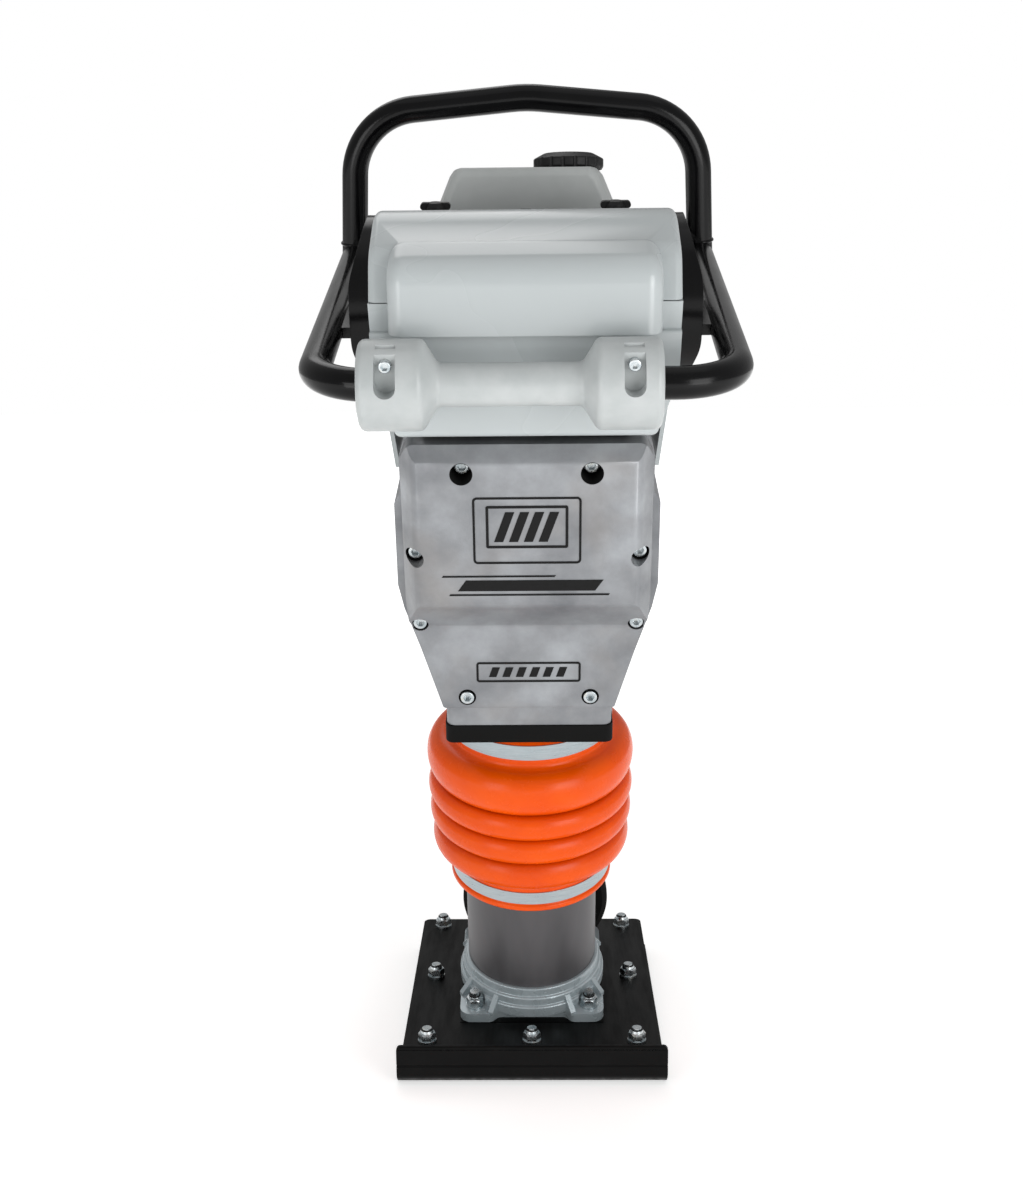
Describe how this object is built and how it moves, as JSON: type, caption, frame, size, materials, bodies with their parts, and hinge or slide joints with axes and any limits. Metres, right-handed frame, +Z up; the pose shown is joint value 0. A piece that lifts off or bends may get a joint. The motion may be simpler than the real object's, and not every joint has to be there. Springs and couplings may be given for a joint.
{
  "type": "tamping rammer",
  "caption": "Upright vibratory rammer: flat shoe, sprung leg in an orange bellows, cast crankcase, engine, tank and cowl, and a looped tube handle with a front roller.",
  "frame": {"origin": "centre of the shoe's flat underside, on the ground", "axes": "+Z up, -Y towards the front where the roller is, +X to the right of a person who faces the front"},
  "size_m": [0.3992, 0.619, 1.0276],
  "materials": {
    "shoe_black_paint": "semi-gloss black enamel",
    "laminated_wood": "laminated hardwood, sealed dark",
    "zinc_fastener": "bright zinc plate",
    "cast_aluminium": "raw die casting",
    "sleeve_steel": "plated steel, dark grey",
    "machined_steel": "ground steel",
    "orange_polyurethane": "glossy orange polyurethane",
    "black_rubber": "matt black rubber",
    "grey_cowl_plastic": "glossy light grey moulding",
    "tank_plastic": "satin grey polyethylene",
    "black_tube_enamel": "gloss black powder coat",
    "black_plastic": "moulded black plastic",
    "filter_foam": "oiled foam",
    "heat_steel": "heat-resistant dark paint",
    "white_ceramic": "glazed ceramic",
    "sight_glass": "clear window in a ring"
  },
  "bodies": {
    "foot": {"wear_sole": "shoe_black_paint", "shoe_core": "laminated_wood", "foot_plate": "shoe_black_paint", "shoe_bolts": "zinc_fastener", "foot_pedestal": "shoe_black_paint", "leg_flange": "cast_aluminium", "flange_bolts": "zinc_fastener", "protection_sleeve": "sleeve_steel", "spring_cylinder": "machined_steel", "bellows": "orange_polyurethane", "lower_clamp": "zinc_fastener", "main_springs": "machined_steel", "rear_bumper": "black_rubber"},
    "machine": {"guide_cylinder": "machined_steel", "upper_clamp": "zinc_fastener", "base_rubber": "black_rubber", "crankcase": "cast_aluminium", "oil_sight_glass": "sight_glass", "crank_bearings": "machined_steel", "crankcase_cover": "cast_aluminium", "cover_gasket": "black_rubber", "cover_bolts": "zinc_fastener", "engine_block": "cast_aluminium", "engine_cylinder": "cast_aluminium", "cylinder_head": "cast_aluminium", "spark_plug": "white_ceramic", "fan_shroud": "black_plastic", "recoil_housing": "black_plastic", "muffler": "heat_steel", "muffler_guard": "heat_steel", "carburettor": "cast_aluminium", "air_cleaner_base": "black_plastic", "air_cleaner_cover": "black_plastic", "air_element": "filter_foam", "fuel_tank": "tank_plastic", "upper_cowl": "grey_cowl_plastic", "lower_cowl": "grey_cowl_plastic", "lifting_hook": "black_tube_enamel", "mount_brackets": "black_tube_enamel"},
    "piston": {"piston_rod": "machined_steel"},
    "crank": {"crank_gear": "machined_steel"},
    "con_rod": {"con_rod": "machined_steel"},
    "clutch": {"clutch_drum": "machined_steel"},
    "flywheel": {"fan_wheel": "black_plastic"},
    "starter": {"starter_grip": "black_plastic"},
    "choke": {"choke_lever": "black_plastic"},
    "fuel_cap": {"fuel_cap": "black_plastic"},
    "fuel_cock": {"fuel_cock_lever": "black_plastic"},
    "knob_left": {"cowl_knob_left": "black_plastic"},
    "knob_right": {"cowl_knob_right": "black_plastic"},
    "handle": {"front_loop": "black_tube_enamel", "rear_hoop": "black_tube_enamel", "side_plates": "black_tube_enamel", "shock_mounts": "black_rubber", "mount_bolts": "black_tube_enamel", "throttle_bracket": "black_tube_enamel"},
    "throttle": {"throttle_lever": "black_plastic"},
    "roller": {"roller_front": "grey_cowl_plastic", "roller_rear": "grey_cowl_plastic", "roller_bolts": "zinc_fastener"}
  },
  "joints": [
    {"name": "leg_stroke", "type": "slide", "parent": "foot", "child": "machine", "axis": [0, -0.2419, 0.9703], "range_m": [-0.03, 0.03], "stiffness_N_per_m": 40000, "springref_m": 0.01428, "deforming": ["bellows", "main_springs"]},
    {"name": "piston_stroke", "type": "slide", "parent": "machine", "child": "piston", "axis": [0, -0.2419, 0.9703], "range_m": [-0.022, 0.022], "stiffness_N_per_m": 12000, "springref_m": 0.0014},
    {"name": "crank_turn", "type": "hinge", "parent": "machine", "child": "crank", "pos_m": [0, -0.19959, 0.57611], "axis": [0, 0.9703, 0.2419], "continuous": true},
    {"name": "con_rod_turn", "type": "hinge", "parent": "crank", "child": "con_rod", "pos_m": [0, -0.1758, 0.60471], "axis": [0, 0.9703, 0.2419], "continuous": true},
    {"name": "clutch_turn", "type": "hinge", "parent": "machine", "child": "clutch", "pos_m": [0, -0.18935, 0.65905], "axis": [0, 0.9703, 0.2419], "continuous": true},
    {"name": "flywheel_turn", "type": "hinge", "parent": "machine", "child": "flywheel", "pos_m": [0, 0.00471, 0.70743], "axis": [0, 0.9703, 0.2419], "continuous": true},
    {"name": "starter_pull", "type": "slide", "parent": "machine", "child": "starter", "axis": [0, 0.9703, 0.2419], "range_m": [0, 0.45], "stiffness_N_per_m": 20, "springref_m": -0.3},
    {"name": "choke_turn", "type": "hinge", "parent": "machine", "child": "choke", "pos_m": [-0.0984, -0.07337, 0.723], "axis": [1, 0, 0], "range_deg": [0, 70]},
    {"name": "fuel_cap_turn", "type": "hinge", "parent": "machine", "child": "fuel_cap", "pos_m": [0.042, -0.08689, 0.93017], "axis": [0, 0, 1], "range_deg": [0, 120]},
    {"name": "fuel_cock_turn", "type": "hinge", "parent": "machine", "child": "fuel_cock", "pos_m": [-0.09, -0.04348, 0.81806], "axis": [1, 0, 0], "range_deg": [-90, 0]},
    {"name": "knob_left_turn", "type": "hinge", "parent": "machine", "child": "knob_left", "pos_m": [-0.082, -0.21636, 0.89141], "axis": [0, -0.2419, 0.9703], "continuous": true},
    {"name": "knob_right_turn", "type": "hinge", "parent": "machine", "child": "knob_right", "pos_m": [0.082, -0.21636, 0.89141], "axis": [0, -0.2419, 0.9703], "continuous": true},
    {"name": "handle_rock", "type": "hinge", "parent": "machine", "child": "handle", "pos_m": [0, -0.22781, 0.81333], "axis": [1, 0, 0], "range_deg": [-2.5, 2.5], "stiffness_Nm_per_rad": 2500},
    {"name": "throttle_turn", "type": "hinge", "parent": "handle", "child": "throttle", "pos_m": [0.098, 0.05794, 0.87839], "axis": [1, 0, 0], "range_deg": [-55, 0]},
    {"name": "roller_spin", "type": "hinge", "parent": "handle", "child": "roller", "pos_m": [0, -0.41703, 0.74554], "axis": [1, 0, 0], "continuous": true}
  ],
  "couplings": [
    {"joint": "con_rod_turn", "follows": "crank_turn", "ratio": -1},
    {"joint": "clutch_turn", "follows": "crank_turn", "ratio": -3.875},
    {"joint": "flywheel_turn", "follows": "crank_turn", "ratio": -3.875}
  ]
}
